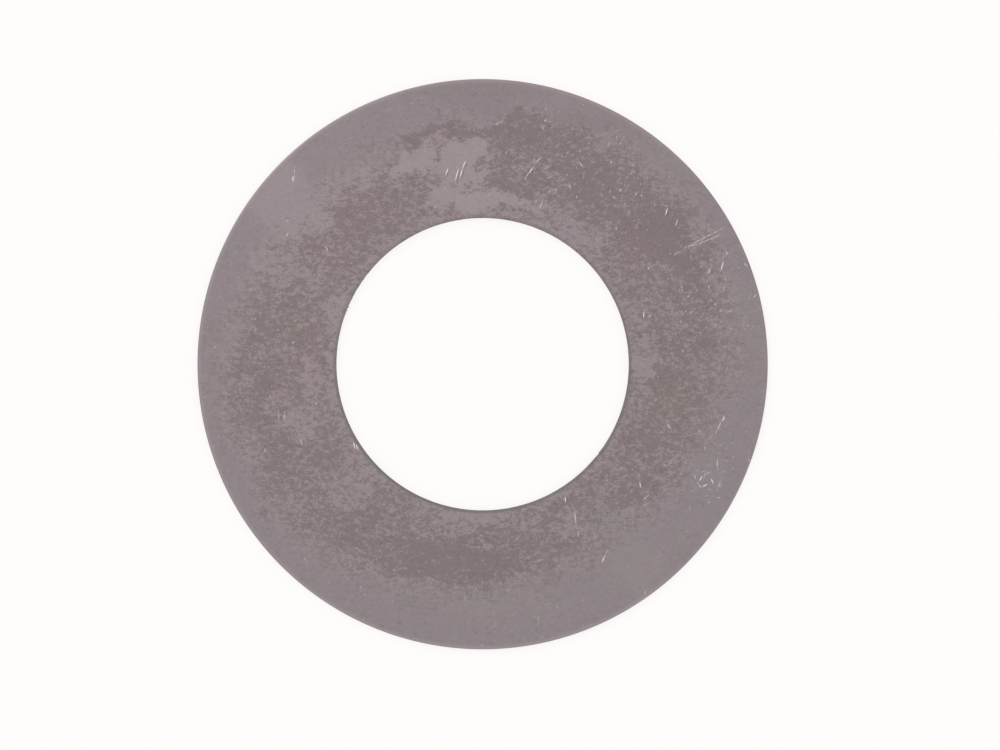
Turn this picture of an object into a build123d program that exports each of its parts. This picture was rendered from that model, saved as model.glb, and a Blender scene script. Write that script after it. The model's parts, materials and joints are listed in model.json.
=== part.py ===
from build123d import *
import os

# A shim ring: one flat ring punched out of thin steel strip and tumbled to take the burr off.
# It lies on the XY plane with its axis on Z, and the face that the die drew in is the upper one.
# All sizes are in millimetres.

# Driving dimensions of the ring
outer_diameter = 40.0
bore_diameter = 20.5  # slips over a 20 mm shaft
thickness = 0.5

# The edge that a compound die cuts, the same at the rim and at the bore
roll_radius = 0.09  # the upper corner is drawn down to this radius before the cut starts
land_height = 0.16  # the burnished land below the roll, which alone has the full diameter
die_clearance = 0.025  # gap between punch and die, by which the torn part below leans back
edge_break = 0.03  # radius that tumbling leaves on the lower corner

# What follows from them
outer_radius = outer_diameter / 2
bore_radius = bore_diameter / 2
middle_radius = (outer_radius + bore_radius) / 2
land_bottom = thickness - roll_radius - land_height

with BuildPart() as shim_ring:
    # The outer half of the ring's section, from the middle of its width out to the rim
    with BuildSketch(Plane.XZ) as section:
        with BuildLine():
            Polyline(
                (middle_radius, 0),
                (outer_radius - die_clearance, 0),
                (outer_radius, land_bottom),
                (outer_radius, thickness),
                (middle_radius, thickness),
                close=True,
            )
        make_face()
        lower_corner = section.vertices().group_by(Axis.Y)[0].sort_by(Axis.X)[-1]
        fillet(lower_corner, edge_break)
        upper_corner = section.vertices().group_by(Axis.Y)[-1].sort_by(Axis.X)[-1]
        fillet(upper_corner, roll_radius)
        # One stroke cuts rim and bore, so the bore's edge is the rim's edge mirrored
        mirror(about=Plane.YZ.offset(middle_radius))
    revolve(axis=Axis.Z)

shim_ring.part.label = "shim_ring"

os.makedirs("parts", exist_ok=True)
export_step(shim_ring.part, "parts/shim_ring.step")
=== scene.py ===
# %% [markdown]
# # A tarnished steel shim ring
#
# The object is one thin flat ring, punched out of rolled steel strip, that lies on a pale table and
# is seen from straight above. Its shape is simple, so nearly all of its character is in its faces:
# a brown-grey tarnish that grew in islands, a rim that hands have kept clean, a bare patch, and a
# few dozen short bright scratches. The lesson is how to build such a face out of small readable
# steps, each tied to a place on the ring, and how to give the thin edge its true punched shape.
#
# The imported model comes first. It is the ring at its real size, in metres, and all that follows
# takes its sizes from it.

import json
import math

import bmesh
import bpy
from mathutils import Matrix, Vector


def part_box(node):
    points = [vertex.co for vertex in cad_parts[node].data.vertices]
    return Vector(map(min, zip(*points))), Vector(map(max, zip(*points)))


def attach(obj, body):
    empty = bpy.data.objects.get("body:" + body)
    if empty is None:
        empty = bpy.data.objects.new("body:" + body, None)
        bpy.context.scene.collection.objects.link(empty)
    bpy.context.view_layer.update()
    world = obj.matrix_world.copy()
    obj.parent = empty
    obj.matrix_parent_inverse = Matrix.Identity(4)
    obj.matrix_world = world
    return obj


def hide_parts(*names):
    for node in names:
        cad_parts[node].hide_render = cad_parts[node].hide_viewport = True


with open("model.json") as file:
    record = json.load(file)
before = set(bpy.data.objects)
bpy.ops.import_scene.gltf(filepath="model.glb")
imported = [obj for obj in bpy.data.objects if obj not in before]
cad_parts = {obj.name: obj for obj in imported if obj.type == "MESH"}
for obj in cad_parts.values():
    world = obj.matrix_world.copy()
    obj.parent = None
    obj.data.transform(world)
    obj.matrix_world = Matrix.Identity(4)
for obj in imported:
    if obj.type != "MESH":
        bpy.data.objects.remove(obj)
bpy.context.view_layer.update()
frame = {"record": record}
MM = 0.001

lowest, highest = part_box("shim_ring")
bore_mount = next(mount for mount in frame["record"]["mounts"] if mount["name"] == "bore")
outer_radius = highest[0]
bore_radius = bore_mount["dims"]["r_mm"] * MM
thickness = highest[2]
print(f"ring: {2 * outer_radius / MM:.2f} x {2 * bore_radius / MM:.2f} x {thickness / MM:.2f} mm")

# %% [markdown]
# ## Camera
#
# The ring is seen from straight above. A camera that is not turned looks down the Z axis with +Y
# up the picture, so it only has to be placed. A long lens from far off keeps the bore's wall out of
# sight, as it is on the real thing. The camera stands a little to the right of the axis and below
# it, which puts the ring left of the middle and above it.

# %% Camera
field_width = 70.11 * MM  # what the picture's width covers at the ring's upper face
beside_axis = Vector((1.220, -0.757)) * MM
lens_mm = 135.0
sensor_mm = 36.0

camera_data = bpy.data.cameras.new("camera")
camera_data.lens = lens_mm
camera_data.sensor_width = sensor_mm
camera_data.clip_start = 0.005
camera_height = thickness + field_width * lens_mm / sensor_mm
camera = bpy.data.objects.new("camera", camera_data)
camera.location = (*beside_axis, camera_height)
bpy.context.scene.collection.objects.link(camera)
bpy.context.scene.camera = camera
bpy.context.scene.view_settings.view_transform = "Standard"
print(f"camera: {camera_height / MM:.0f} mm above the table")

# %% [markdown]
# ## A small vocabulary for shader nodes
#
# Materials, the table and the sky are all node trees. Writing `nodes.new`, setting a few fields
# and linking sockets one by one hides what a tree does, so one short class wraps a tree and adds a
# node in a single call. Its methods return output sockets, and a value given to them may be a number
# or another node's socket. The few methods below are all that this object needs.

# %% Node helpers
class Tree:
    """A node tree that is written like a formula: each method adds a node and returns its output."""

    def __init__(self, tree):
        self.tree = tree
        tree.nodes.clear()

    def add(self, kind, values=(), **fields):
        node = self.tree.nodes.new("ShaderNode" + kind)
        for name, value in fields.items():
            setattr(node, name, value)
        for name, value in dict(values).items():
            if isinstance(value, bpy.types.NodeSocket):
                self.tree.links.new(value, node.inputs[name])
            else:
                node.inputs[name].default_value = value
        return node

    def math(self, operation, a, b=0.0, clamp=False):
        return self.add("Math", {0: a, 1: b}, operation=operation, use_clamp=clamp).outputs[0]

    def line(self, value, slope, start):
        """start + slope * value"""
        values = {0: value, 1: slope, 2: start}
        return self.add("Math", values, operation="MULTIPLY_ADD").outputs[0]

    def vector(self, operation, a, b=(0, 0, 0)):
        return self.add("VectorMath", {0: a, 1: b}, operation=operation).outputs[0]

    def length(self, a):
        return self.add("VectorMath", {0: a}, operation="LENGTH").outputs["Value"]

    def step(self, value, start, end, low=0.0, high=1.0):
        """Goes smoothly from low to high while value goes from start to end."""
        ends = {"Value": value, "From Min": start, "From Max": end, "To Min": low, "To Max": high}
        return self.add("MapRange", ends, interpolation_type="SMOOTHSTEP").outputs["Result"]

    def mix(self, share, a, b, blend="MIX"):
        """Blends colours a and b."""
        node = self.add("Mix", data_type="RGBA", blend_type=blend)
        for name, value in (("Factor_Float", share), ("A_Color", a), ("B_Color", b)):
            socket = next(s for s in node.inputs if s.identifier == name)
            if isinstance(value, bpy.types.NodeSocket):
                self.tree.links.new(value, socket)
            else:
                socket.default_value = value
        return next(s for s in node.outputs if s.identifier == "Result_Color")

    def place(self, coordinates, middle=(0, 0, 0), turn=0.0, size=(1, 1, 1)):
        """Coordinates in which an ellipsoid of these half sizes, turned about Z, has radius 1."""
        settings = {"Vector": coordinates, "Location": middle, "Rotation": (0, 0, turn)}
        settings["Scale"] = size
        return self.add("Mapping", settings, vector_type="TEXTURE").outputs[0]

    def noise(self, coordinates, scale, detail=2.0, roughness=0.5, output="Fac"):
        settings = {"Vector": coordinates, "Scale": scale, "Detail": detail}
        settings["Roughness"] = roughness
        return self.add("TexNoise", settings).outputs[output]


def tone(red, green, blue):
    """A colour written as it shows, from 0 to 255, turned into the linear values a shader takes."""
    shares = (red / 255, green / 255, blue / 255)
    linear = [s / 12.92 if s <= 0.04045 else ((s + 0.055) / 1.055) ** 2.4 for s in shares]
    return (*linear, 1.0)


# %% [markdown]
# ## Table and light
#
# The table is so bright that it burns out to white, while the ring stays a middle grey. More light
# would burn out the ring too, so the light stays plain, and the table's own material adds a glow that
# only the camera and mirrored rays see. The rest of its brightness is real light, so the ring still
# drops its faint shadow. The sky is handled in the same way: white where it is seen or mirrored, and
# softer where it lights.

# %% Table
table_white = tone(255, 253, 252)
table_paint = tone(118, 117, 116)
table_side = 1.2
below_ring = 0.01 * MM


def seen_directly(tree):
    """1 for rays that show the table or sky to the camera, straight, mirrored or through glass."""
    path = tree.add("LightPath").outputs
    mirrored = tree.math("MAXIMUM", path["Is Camera Ray"], path["Is Glossy Ray"])
    return tree.math("MAXIMUM", mirrored, path["Is Transmission Ray"])


table_mesh = bpy.data.meshes.new("table")
table_shape = bmesh.new()
bmesh.ops.create_grid(table_shape, x_segments=1, y_segments=1, size=table_side / 2)
bmesh.ops.translate(table_shape, vec=(0, 0, -below_ring), verts=table_shape.verts)
table_shape.to_mesh(table_mesh)
table_shape.free()
table = bpy.data.objects.new("table", table_mesh)
bpy.context.scene.collection.objects.link(table)

table_material = bpy.data.materials.new("table_white")
table_material.use_nodes = True
paper = Tree(table_material.node_tree)
lit = paper.add("BsdfDiffuse", {"Color": table_paint}).outputs[0]
glow_share = paper.math("MULTIPLY", seen_directly(paper), 0.84)
glow = paper.add("Emission", {"Color": table_white, "Strength": glow_share}).outputs[0]
both = paper.add("AddShader", {0: lit, 1: glow}).outputs[0]
paper.add("OutputMaterial", {"Surface": both})
table_mesh.materials.append(table_material)

# %% Sky and soft boxes
sky_light = 0.78  # what the sky gives as light, next to 1 where it is seen
box_side = 0.35
boxes = {  # place of each soft box, and its power in watts
    "key_box": ((-0.28, 0.34, 0.62), 0.8),
    "fill_box": ((0.40, -0.22, 0.55), 0.25),
}

world = bpy.data.worlds.new("studio")
world.use_nodes = True
bpy.context.scene.world = world
sky = Tree(world.node_tree)
sky_strength = sky.line(seen_directly(sky), 1.0 - sky_light, sky_light)
background = sky.add("Background", {"Color": table_white, "Strength": sky_strength}).outputs[0]
sky.add("OutputWorld", {"Surface": background})

for name, (place, power) in boxes.items():
    lamp_data = bpy.data.lights.new(name, "AREA")
    lamp_data.size = box_side
    lamp_data.energy = power
    lamp = bpy.data.objects.new(name, lamp_data)
    lamp.location = place
    lamp.rotation_euler = (-Vector(place)).to_track_quat("-Z", "Y").to_euler()
    bpy.context.scene.collection.objects.link(lamp)
    print(f"{name}: {power} W, {Vector(place).length:.2f} m away")

# %% [markdown]
# ## The ring's shape
#
# A punched edge is not a plain right angle. Going down from the upper face, the die first draws
# the metal over a small radius, then cuts a smooth full-size land, and at last tears the rest
# away so that it leans back a little. Tumbling takes the burr off the lower corner. A lathe-like
# spin makes all of this at once: draw one section, spin it right round, and let a bevel round the
# corners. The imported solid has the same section, but is made of fewer flats, and this finer ring has
# smooth outlines close up and room for small flaws in the bore.

# %% Section and spin
roll_radius = 0.09 * MM
land_height = 0.16 * MM
die_clearance = 0.025 * MM
edge_break = 0.03 * MM
spin_steps = 1440

land_bottom = thickness - roll_radius - land_height
section = [  # once round the section, as (radius, height)
    (outer_radius - die_clearance, 0.0),
    (outer_radius, land_bottom),
    (outer_radius, thickness),
    (bore_radius, thickness),
    (bore_radius, land_bottom),
    (bore_radius + die_clearance, 0.0),
]

ring = bmesh.new()
points = [ring.verts.new((radius, 0.0, height)) for radius, height in section]
outline = [ring.edges.new(pair) for pair in zip(points, points[1:] + points[:1])]
bmesh.ops.spin(
    ring,
    geom=points + outline,
    axis=(0, 0, 1),
    cent=(0, 0, 0),
    angle=math.tau,
    steps=spin_steps,
    use_merge=True,
)
bmesh.ops.remove_doubles(ring, verts=ring.verts, dist=0.0001 * MM)
bmesh.ops.recalc_face_normals(ring, faces=ring.faces)
print(f"spun ring: {len(ring.verts)} points, {len(ring.faces)} faces")


# %% Rounded corners
def corner_edges(radius, height):
    """The edges of the circle with this radius at this height."""

    def on_circle(vert):
        off_radius = abs(vert.co.xy.length - radius)
        return off_radius < 0.001 * MM and abs(vert.co.z - height) < 0.001 * MM

    return [edge for edge in ring.edges if all(on_circle(vert) for vert in edge.verts)]


def round_corners(circles, size, segments):
    edges = [edge for radius, height in circles for edge in corner_edges(radius, height)]
    bmesh.ops.bevel(
        ring,
        geom=edges,
        offset=size,
        offset_type="OFFSET",
        affect="EDGES",
        segments=segments,
        profile=0.5,
        material=-1,
    )
    return len(edges)


rolled = round_corners([section[2], section[3]], roll_radius, 6)
broken = round_corners([section[0], section[5]], edge_break, 3)
print(f"corners rounded: {rolled} edges above, {broken} below; now {len(ring.faces)} faces")

# %% [markdown]
# Two torn slivers still hang in the bore at its upper left, and there is a shallow bite out of its
# edge at the lower right. They are under a tenth of a millimetre, so they are no change to the
# section: the wall's points near each place are simply pushed in or out along their radius, by a
# bell-shaped amount that dies away to both sides and towards the other face.

# %% Slivers and a bite in the bore
bore_flaws = [  # angle in degrees, push towards the axis in mm, half width in mm, height in mm
    (156.9, 0.10, 0.07, 0.10),
    (158.4, 0.09, 0.06, 0.10),
    (153.3, 0.04, 0.08, 0.12),
    (159.9, 0.03, 0.06, 0.10),
    (-38.4, -0.05, 0.22, 0.42),
    (-36.9, 0.02, 0.14, 0.42),
]
flaw_depth = 0.22 * MM  # how far a push reaches up and down the wall
wall_reach = 0.12 * MM

pushed = 0
for vert in ring.verts:
    radius = vert.co.xy.length
    if radius > bore_radius + wall_reach:
        continue
    for angle, push, half_width, height in bore_flaws:
        aside = (math.atan2(vert.co.y, vert.co.x) - math.radians(angle) + math.pi) % math.tau - math.pi
        sideways = aside * bore_radius / (half_width * MM)
        upwards = (vert.co.z - height * MM) / flaw_depth
        if abs(sideways) < 1 and abs(upwards) < 1:
            bell = (1 - sideways**2) ** 2 * (1 - upwards**2)
            vert.co.xy *= 1 - push * MM * bell / radius
            pushed += 1
print(f"bore flaws: {pushed} points pushed")

# %% Ring object
for face in ring.faces:
    face.smooth = True
ring_mesh = bpy.data.meshes.new("tarnished_ring")
ring.to_mesh(ring_mesh)
ring.free()
tarnished_ring = bpy.data.objects.new("tarnished_ring", ring_mesh)
bpy.context.scene.collection.objects.link(tarnished_ring)

# Broad flat faces pull the shading of the corners beside them straight
even_faces = tarnished_ring.modifiers.new("even_faces", "WEIGHTED_NORMAL")
even_faces.mode = "FACE_AREA"
even_faces.weight = 100

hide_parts("shim_ring")
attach(tarnished_ring, "root")
print(f"ring object: {len(ring_mesh.polygons)} faces")

# %% [markdown]
# ## The tarnished face
#
# The finish is painted in layers, from the bare metal up. Every layer reads the ring's own Object
# coordinates, turned into millimetres, so each pattern keeps its real scale and stays on the ring
# when it moves. A place on the ring is named as a maker would name it: an angle round the ring,
# counted from +X towards +Y, and a radius in millimetres.

# %% Coordinates in millimetres
steel_material = bpy.data.materials.new("tarnished_steel")
steel_material.use_nodes = True
face = Tree(steel_material.node_tree)
metres = face.add("TexCoord").outputs["Object"]
mm = face.add("VectorMath", {0: metres, "Scale": 1 / MM}, operation="SCALE").outputs[0]
flat_mm = face.vector("MULTIPLY", mm, (1, 1, 0))
radius_mm = face.length(flat_mm)

top_mm = thickness / MM
rim_mm = outer_radius / MM
bore_mm = bore_radius / MM


def at(angle, radius):
    """The point of the upper face at this angle in degrees and radius in mm."""
    turn = math.radians(angle)
    return (radius * math.cos(turn), radius * math.sin(turn), top_mm)


# %% [markdown]
# ### Where the tarnish lies
#
# A patch of tarnish, or of bare metal, is an ellipse with a ragged outline. The Mapping node in its
# Texture mode turns such an ellipse into a unit ball, and the spherical gradient is 1 at its middle
# and 0 at its edge. Pushing the coordinates about with a noise before that makes the outline ragged.
# The patches are thin in Z, so they stay on the upper face.

# %% Patch tools
ragged = face.noise(mm, 0.55, detail=5.0, roughness=0.7, output="Color")
ragged = face.vector("SUBTRACT", ragged, (0.5, 0.5, 0.5))
ragged = face.vector("MULTIPLY", ragged, (6.0, 5.0, 0.0))
ragged_mm = face.vector("ADD", mm, ragged)
patch_depth = 0.3  # how far a patch reaches below the upper face


def ellipse(middle, long, wide, turn, coordinates):
    """1 in the middle of an ellipse long by wide mm, and 0 from its edge outwards."""
    size = (long / 2, wide / 2, patch_depth)
    placed = face.place(coordinates, middle, math.radians(turn), size)
    return face.add("TexGradient", {"Vector": placed}, gradient_type="SPHERICAL").outputs["Fac"]


def largest(fields):
    """At each point the largest of these fields."""
    found = fields[0]
    for field in fields[1:]:
        found = face.math("MAXIMUM", found, field)
    return found


def patches(rows):
    """Each row: angle and radius of the middle, length and width, and the turn of the long axis."""
    fields = [
        ellipse(at(angle, radius), long, wide, turn, ragged_mm)
        for angle, radius, long, wide, turn in rows
    ]
    return face.step(largest(fields), 0.0, 0.6)


# %% [markdown]
# The tarnish is thick in two arcs, one at the upper right and one at the bottom, and of middling
# strength at the left and the right. Between them lie places where it is thin, and near the top one
# large patch was wiped bare, all but a few crumbs that held on. Each kind has its own list.

# %% Thick tarnish
thick = patches(
    [
        (107, 16.6, 4.0, 1.4, 16),
        (94, 16.4, 5.0, 1.8, 3),
        (81, 16.4, 6.0, 3.4, -8),
        (69, 16.0, 7.0, 4.2, -20),
        (55, 14.9, 7.5, 6.0, -35),
        (39, 14.8, 7.5, 6.4, -50),
        (24, 16.0, 5.5, 4.0, -62),
        (82, 12.8, 4.4, 1.8, -4),
        (74, 13.2, 3.0, 2.2, -8),
        (63, 13.3, 2.6, 2.6, 0),
        (273, 14.0, 6.0, 3.4, 3),
        (258, 14.0, 7.0, 4.2, -6),
        (119, 12.8, 3.4, 1.6, 25),
        (132, 13.4, 5.4, 2.6, 40),
    ]
)
thickest = patches(
    [(36, 15.3, 6.5, 3.6, -55), (60, 15.0, 5.0, 3.6, -35), (262, 14.0, 8.0, 3.2, -6)]
)

# %% Middling tarnish
middling = patches(
    [
        (8, 15.8, 5.5, 4.2, -80),
        (-16, 15.2, 6.5, 4.0, 74),
        (-8, 12.6, 3.0, 5.0, -10),
        (-28, 12.6, 5.4, 3.2, 55),
        (-40, 13.9, 4.0, 3.0, 50),
        (-62, 14.8, 3.0, 2.4, 0),
        (-71, 14.0, 5.0, 4.6, 10),
        (246, 14.8, 6.0, 3.8, -18),
        (230, 16.0, 7.0, 3.4, -38),
        (206, 15.6, 5.0, 3.8, 68),
        (187, 16.4, 6.0, 3.6, 88),
        (172, 16.4, 5.4, 3.6, 80),
        (174, 12.9, 3.6, 2.6, 80),
        (228, 12.6, 5.0, 3.0, -45),
    ]
)

# %% Bare patch and its crumbs
bare = patches(
    [
        (96, 14.3, 5.4, 4.4, 8),
        (108, 14.6, 5.6, 3.0, 20),
        (99, 12.2, 4.0, 3.4, 10),
        (88, 11.3, 9.0, 1.8, 0),
    ]
)
crumbs = patches(
    [
        (110, 14.0, 1.8, 1.3, 0),
        (115, 15.9, 2.0, 1.3, 0),
        (113, 12.8, 2.8, 1.8, 0),
        (102, 15.1, 1.3, 1.8, 0),
        (98, 12.6, 1.0, 1.3, 0),
        (91, 14.2, 2.0, 0.8, 0),
        (88, 12.9, 2.6, 1.0, 0),
    ]
)
bare = face.math("SUBTRACT", bare, crumbs, clamp=True)

# %% Thin tarnish
thin = patches(
    [
        (70, 12.2, 2.0, 3.2, 10),
        (128, 15.8, 6.0, 2.4, 35),
        (155, 15.4, 6.8, 2.2, -25),
        (160, 11.6, 2.0, 3.4, -20),
        (199, 13.4, 3.6, 3.6, 0),
        (272, 11.1, 10.0, 1.6, 0),
        (140, 17.8, 5.6, 9.0, 48),
        (186, 12.0, 2.0, 5.0, 8),
        (-24, 17.5, 2.8, 2.8, 0),
        (-52, 16.3, 4.0, 9.0, 38),
        (16, 18.8, 1.8, 3.6, 16),
        (-59, 12.9, 1.8, 4.4, 30),
        (2, 11.2, 1.6, 7.0, 0),
        (55, 11.4, 7.0, 1.8, -35),
        (224, 12.6, 4.6, 4.6, 0),
    ]
)

# %% [markdown]
# Handling has kept the rim clean, but not evenly: the tarnished area is a tilted oval, so the clean
# border is thin at left and right and wide elsewhere. Where the tarnish is thick it holds out
# against the rubbing, and runs on into the border.

# %% Clean rim
tarnish_oval = face.place(ragged_mm, (-0.2, 0.45, 0), math.radians(25), (18.6, 16.2, 50.0))
from_middle = face.length(face.vector("MULTIPLY", tarnish_oval, (1, 1, 0)))
clean_rim = face.step(from_middle, 0.86, 1.12)
clean_rim = face.math("SUBTRACT", clean_rim, face.math("MULTIPLY", thick, 0.8), clamp=True)
print(f"areas laid out: {len(face.tree.nodes)} nodes so far")

# %% [markdown]
# ### How the tarnish grew
#
# Tarnish starts in thousands of points and spreads a little faster along the rolling direction of
# the strip, here the X axis. Islands and finer grains stand for how easily each point tarnishes.
# The fields above set the level that it has to pass. Where the level is low nearly all is covered,
# and where it is high only specks are left, so one rule gives solid patches, islands and freckles.
# Handling has left the face a little cleaner next to the bore. On the clean rim the film is also
# thinner, so its freckles are paler.

# %% Grown tarnish
along_strip = face.vector("MULTIPLY", mm, (0.72, 1.0, 1.0))
streaked = face.vector("MULTIPLY", mm, (0.5, 1.0, 1.0))
islands = face.noise(streaked, 1.3, detail=2.0, roughness=0.7)
grains = face.noise(along_strip, 3.3, detail=3.0, roughness=0.95)

ease = face.math("ADD", face.line(islands, 0.20, -0.10), grains)

near_bore = face.step(radius_mm, bore_mm + 0.3, bore_mm + 1.2, 1.0, 0.0)
shifts = [  # each field, and how far it lowers the level (more tarnish) or lifts it (more steel)
    (thick, -0.055),
    (thickest, -0.05),
    (middling, -0.03),
    (thin, 0.085),
    (bare, 0.22),
    (near_bore, 0.05),
    (clean_rim, 0.10),
]
level = 0.487  # with no field at all, about half of the steel is covered
for field, shift in shifts:
    level = face.line(field, shift, level)

over_level = face.math("SUBTRACT", ease, level)
covered = face.step(over_level, -0.10, 0.06)
thinning = face.line(clean_rim, -0.70, 1.0)
tarnish = face.math("MULTIPLY", covered, thinning)
print(f"tarnish grown: {len(face.tree.nodes)} nodes so far")

# %% [markdown]
# ### Colours
#
# The steel itself is a warm light grey, brightest where it is bare, and the tarnish a brown-grey
# only a little darker. The clean rim leans to lilac, with a faintly green border beside the
# tarnish at the lower right, a pinker one at the left and a pale one at the upper left. A slow noise
# shifts the hue of all, and a few places of the film are redder or more olive.

# %% Colours of steel and tarnish
dull_steel = tone(147, 136.5, 138.5)
bright_steel = tone(150.5, 140.5, 142)
lilac_rim = tone(139.5, 130.5, 134)
green_rim = tone(141, 133, 133.5)
brown_tarnish = tone(127, 116, 118)
red_tarnish = tone(130, 115.5, 118.5)
olive_tarnish = tone(128.5, 118, 116)

steel = face.mix(bare, dull_steel, bright_steel)
steel = face.mix(face.step(from_middle, 0.94, 1.06), steel, lilac_rim)
green_edge = patches([(-52, 16.8, 5.0, 12, 38), (-86, 16.8, 12, 3.0, 0), (5, 18.8, 3.0, 9.0, 0)])
steel = face.mix(green_edge, steel, green_rim)
shaded_rim = patches([(92, 19.2, 15, 4.0, 0), (64, 18.8, 9, 3.4, -25)])
steel = face.mix(face.math("MULTIPLY", shaded_rim, 0.25), steel, brown_tarnish)  # a mere haze
pink_rim = patches([(188, 19.4, 3.0, 18, 0), (66, 19.8, 14, 1.6, -24)])
steel = face.mix(face.math("MULTIPLY", pink_rim, 0.6), steel, tone(142, 129.5, 133))
bright_rim = patches([(140, 18.6, 6.0, 11.0, 48)])
steel = face.mix(face.math("MULTIPLY", bright_rim, 0.7), steel, tone(149, 138.5, 142.5))

reddish = patches(
    [
        (134, 13.4, 11, 4.6, 38),
        (36, 13.4, 3.6, 3.6, 0),
        (182, 12.4, 5.0, 3.0, 88),
        (171, 13.2, 4.0, 3.0, 70),
    ]
)
olive = patches([(170, 13.4, 3.6, 3.0, 60), (-12, 13.5, 3.6, 3.6, 0), (20, 12.6, 2.6, 2.6, 0)])
film = face.mix(reddish, brown_tarnish, red_tarnish)
film = face.mix(olive, film, olive_tarnish)
painted = face.mix(tarnish, steel, film)

# %% Slow drift of the hue
hue_noise = face.noise(mm, 0.6, detail=3.0, roughness=0.6, output="Color")
hue_shift = face.mix(0.05, (0.5, 0.5, 0.5, 1), hue_noise)
painted = face.mix(1.0, painted, hue_shift, blend="MULTIPLY")
painted = face.mix(1.0, painted, (2, 2, 2, 1), blend="MULTIPLY")

# %% Fine grain of the rolled surface
fine = face.noise(along_strip, 5.5, detail=1.0, roughness=0.6)
grain_depth = face.line(clean_rim, -0.06, 0.22)
fine_light = face.line(face.math("SUBTRACT", fine, 0.5), grain_depth, 1.0)
painted = face.mix(1.0, painted, fine_light, blend="MULTIPLY")
print(f"colours laid: {len(face.tree.nodes)} nodes so far")

# %% [markdown]
# ### Scratches
#
# A scratch is bright because it lays fresh metal bare, and its colour also carries a painted glint,
# far lighter than the bare steel. Each one is again an ellipse, some tenths of a millimetre long and
# so narrow that only its length shows, which gives it the fine tapering ends of a real one. The deep
# and the faint ones are kept in two lists, and a bent scratch is made of two or three pieces. The few
# deepest ones are gouges, whose steep side lies in shade, so a third list lays a painted shade close
# to the right of each of those.

# %% Scratches
scratch_width = 0.10


def scratches(rows):
    """Each row: x and y of the middle and the length, all in mm, and the direction in degrees."""
    fields = [
        ellipse((x, y, top_mm), long, scratch_width, direction, mm)
        for x, y, long, direction in rows
    ]
    return largest(fields)


# %% Deep scratches
deep = scratches(
    [
        (-2.5, 13.5, 0.6, 72),
        (-1.8, 13.3, 1.1, 74),
        (-1.5, 13.4, 0.8, 72),
        (-1.3, 14.0, 0.7, 66),
        (3.4, 13.6, 0.7, 56),
        (12.9, 10.7, 0.7, 74),
        (16.8, 6.9, 0.8, 74),
        (11.3, 3.45, 0.5, 84),
        (16.9, -3.8, 0.5, 70),
        (15.3, -8.0, 0.5, 62),
        (16.1, -8.2, 0.5, 116),
        (15.6, -8.5, 0.5, 32),
        (11.05, -8.45, 0.5, 100),
        (8.45, -13.7, 0.5, 70),
        (-9.0, -5.7, 0.7, 104),
        (-8.8, -5.8, 0.6, 108),
        (5.8, -9.5, 0.5, 90),
        (-13.3, 13.0, 0.5, 86),
    ]
)

# %% Painted shade beside the gouges
# Painted shade: the dark side of each gouge, laid just to its right
gouge_shade = scratches(
    [
        (-2.45, 13.35, 0.7, 72),
        (-1.68, 13.25, 1.2, 74),
        (-1.38, 13.35, 0.9, 72),
        (-1.2, 13.9, 0.6, 66),
        (-1.75, 12.8, 0.5, 60),
        (13.0, 10.6, 0.7, 74),
        (3.5, 13.5, 0.5, 56),
    ]
)

# %% Faint scratches
faint = scratches(
    [
        (15.6, 8.9, 4.2, 27),
        (15.9, 8.75, 2.6, 23),
        (3.9, 14.3, 0.9, 42),
        (3.1, 13.2, 0.9, 62),
        (14.6, 8.3, 1.2, 17),
        (6.9, 14.0, 0.7, 130),
        (6.1, 12.5, 0.6, 110),
        (1.1, 16.9, 0.9, 30),
        (13.6, 9.9, 0.8, 72),
        (15.9, 6.6, 0.9, 66),
        (17.0, 6.0, 0.5, 100),
        (16.9, 5.3, 0.5, 80),
        (19.1, 4.8, 0.5, 50),
        (16.6, -4.3, 1.4, 64),
        (13.1, -4.4, 1.1, 118),
        (15.7, -7.7, 0.9, 30),
        (15.2, -8.5, 0.8, 125),
        (16.6, -8.4, 0.7, 75),
        (14.9, -7.9, 0.5, 105),
        (16.45, -7.0, 1.1, 88),
        (6.5, -10.8, 1.7, 96),
        (6.7, -11.9, 0.6, 84),
        (11.5, -9.3, 0.8, 40),
        (8.6, -13.4, 0.9, 66),
        (3.9, -18.0, 0.7, 88),
        (-14.3, -3.4, 1.6, 92),
        (-13.9, -3.6, 0.9, 84),
        (-13.2, 13.3, 1.4, 86),
        (-13.7, 9.1, 0.5, 60),
        (-10.9, 8.0, 0.8, 106),
        (-12.7, -5.5, 0.8, 104),
        (4.1, 11.2, 0.9, 74),
    ]
)

# %% [markdown]
# The smallest marks are mere specks and hairlines. There are hundreds, more of them at the right
# and the upper right, so they aren't placed one by one: they are the peaks of fine noises, round
# for the specks and drawn out along their direction for the hairlines.

# %% Specks and hairlines
worn = patches([(62, 15.5, 16, 10, -35), (20, 16.5, 14, 13, 0), (-25, 17, 9, 8, 0)])
peak_start = face.line(worn, -0.05, 0.75)


def peaks(direction, long, wide):
    """1 at the peaks of a noise whose grains are long by wide mm and lie in this direction."""
    placed = face.place(mm, (0, 0, 0), math.radians(direction), (long, wide, 1))
    height = face.noise(placed, 1.0, detail=1.0, roughness=0.6)
    return face.step(face.math("SUBTRACT", height, peak_start), 0.0, 0.07)


specks = peaks(80, 0.30, 0.17)
hairlines = face.math("MAXIMUM", peaks(72, 0.9, 0.09), peaks(24, 0.9, 0.09))

print(f"marks placed: {len(face.tree.nodes)} nodes so far")

# %% [markdown]
# The marks go on in the order in which they came about. Old tarnish is pitted, so its film is
# sprinkled with small darker spots. Over it lies the painted shade beside the gouges, and last the
# fresh metal of all that is scratched, painted light enough to carry its glint. The deep scratches
# are solid lines. The faint ones only touch the high grains, so the fine noise breaks them up into
# beads.

# %% Pits
pit_noise = face.noise(along_strip, 5.0, detail=2.0, roughness=0.8)
pits = face.math("MULTIPLY", face.step(pit_noise, 0.45, 0.28), covered)
painted = face.mix(face.math("MULTIPLY", pits, 0.6), painted, tone(104, 94, 96))
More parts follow.
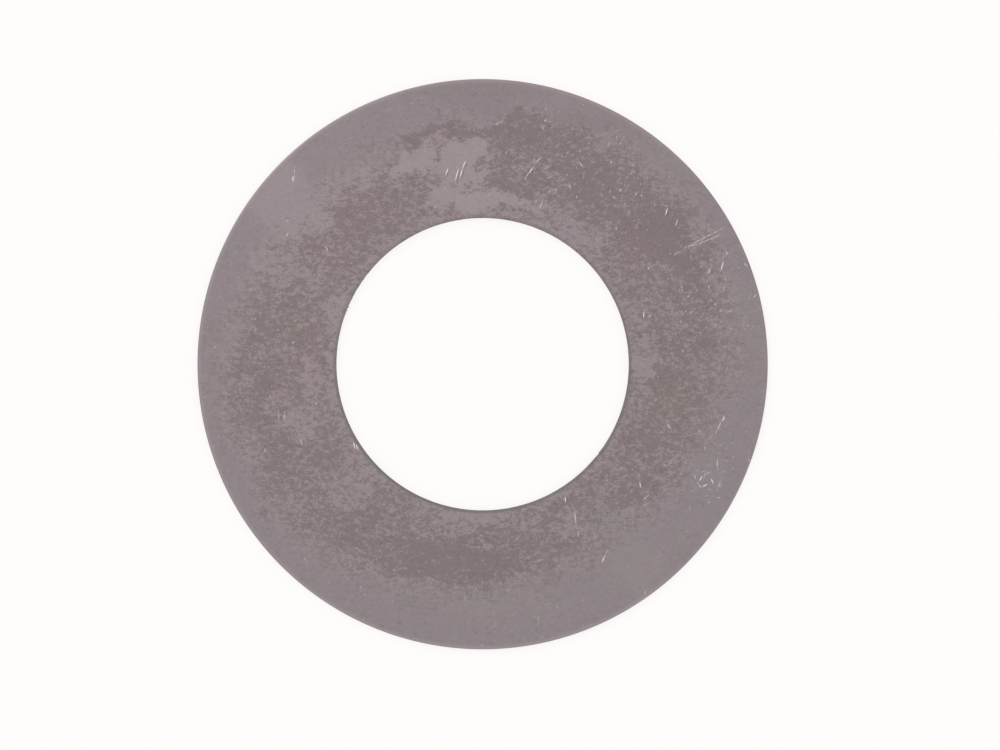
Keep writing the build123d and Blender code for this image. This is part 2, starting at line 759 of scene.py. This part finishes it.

# %% Shaded gouges
# Painted shade: dark marks to the right of the gouges
painted = face.mix(face.math("MULTIPLY", gouge_shade, 0.8), painted, tone(84, 76, 78))

# %% Fresh metal with a painted glint
# Painted glint: scratches, specks and hairlines are fresh metal painted far lighter than the bare
# steel
fresh_metal_glint = tone(222, 218, 219)
beaded = face.step(fine, 0.38, 0.56, 0.30, 1.0)
marks = largest(
    [
        face.math("MULTIPLY", deep, 1.6, clamp=True),
        face.math("MULTIPLY", face.math("MULTIPLY", faint, 0.85), beaded),
        face.math("MULTIPLY", specks, 0.52),
        face.math("MULTIPLY", hairlines, 0.30),
    ]
)
painted = face.mix(marks, painted, fresh_metal_glint)

# %% [markdown]
# ### Edges
#
# A painted shade lines the bore, where the face turns down: a thin dark line all the way round,
# weakest at the top. The rim's edge gets a painted highlight instead, weak along a stretch at the
# right, and its line is pink in the upper half and lilac in the lower. On the wall itself, the
# burnished land is the smoothest and lightest band, and the torn metal below it is grainy and dull.

# %% Edge lines
across = face.add("SeparateXYZ", {"Vector": mm}).outputs
# Painted shade: a thin dark line round the bore where the face turns down, weakest at the top
bore_shade_line = face.step(radius_mm, bore_mm + 0.10, bore_mm + 0.30, 1.0, 0.0)
bore_shade_line = face.math("MULTIPLY", bore_shade_line, face.step(across["Y"], -9.0, 13.0, 0.75, 0.3))
# Painted highlight: a bright line along the rim's edge, weak at the right, pink above and lilac below
rim_highlight = face.step(radius_mm, rim_mm - 0.36, rim_mm - 0.06)
rim_highlight = face.math("MULTIPLY", rim_highlight, face.step(across["X"], 11.0, 17.0, 0.5, 0.05))
lilac_highlight = tone(161, 150.5, 154)
pink_highlight = tone(162, 145, 148)
highlight_tone = face.mix(face.step(across["Y"], -6.0, 4.0), lilac_highlight, pink_highlight)
painted = face.mix(bore_shade_line, painted, tone(113, 106, 108))
painted = face.mix(rim_highlight, painted, highlight_tone)

# %% Land and torn band
height_mm = across["Z"]
round_wall = face.vector("MULTIPLY", mm, (5.0, 5.0, 0.6))
tear = face.noise(round_wall, 1.0, detail=4.0, roughness=0.7)
tear_line = face.step(tear, 0.25, 0.75, 0.19, 0.31)
below_land = face.step(face.math("SUBTRACT", height_mm, tear_line), -0.012, 0.012, 1.0, 0.0)
on_wall = face.math(
    "MULTIPLY",
    face.step(height_mm, 0.01, 0.04),
    face.step(height_mm, 0.40, 0.44, 1.0, 0.0),
)
torn = face.math("MULTIPLY", on_wall, below_land)
land = face.math("SUBTRACT", on_wall, torn, clamp=True)
painted = face.mix(land, painted, tone(158, 150, 151))
torn_grain = face.noise(mm, 14.0, detail=2.0, roughness=0.6)
torn_colour = face.mix(face.step(torn_grain, 0.35, 0.65), tone(104, 96, 96), tone(134, 125, 125))
painted = face.mix(torn, painted, torn_colour)

# %% [markdown]
# ### Sheen and relief
#
# Tarnish is duller than steel, and the land was polished by the die. The relief is slight: a fine
# grain, the faint lines that the rolls have left along X, and the torn metal of the wall.

# %% Sheen
roughness = face.step(tarnish, 0.0, 1.0, 0.38, 0.50)
roughness = face.math("ADD", roughness, face.math("MULTIPLY", torn, 0.20))
roughness = face.math("SUBTRACT", roughness, face.math("MULTIPLY", land, 0.14))
roughness = face.math("SUBTRACT", roughness, face.math("MULTIPLY", marks, 0.10))
metallic = face.step(tarnish, 0.0, 1.0, 0.90, 0.75)

# %% Relief
roll_lines = face.noise(face.vector("MULTIPLY", mm, (0.5, 14.0, 1.0)), 1.0, detail=2.0)
relief = face.line(roll_lines, 0.5, fine)
relief = face.math("ADD", relief, face.math("MULTIPLY", face.math("MULTIPLY", torn, torn_grain), 6.0))
bump = face.add("Bump", {"Height": relief, "Strength": 1.0, "Distance": 0.003 * MM})

# %% Finished surface
shader = face.add(
    "BsdfPrincipled",
    {
        "Base Color": painted,
        "Metallic": metallic,
        "Roughness": roughness,
        "Normal": bump.outputs["Normal"],
    },
)
face.add("OutputMaterial", {"Surface": shader.outputs[0]})
ring_mesh.materials.append(steel_material)
print(f"steel: {len(steel_material.node_tree.nodes)} nodes")
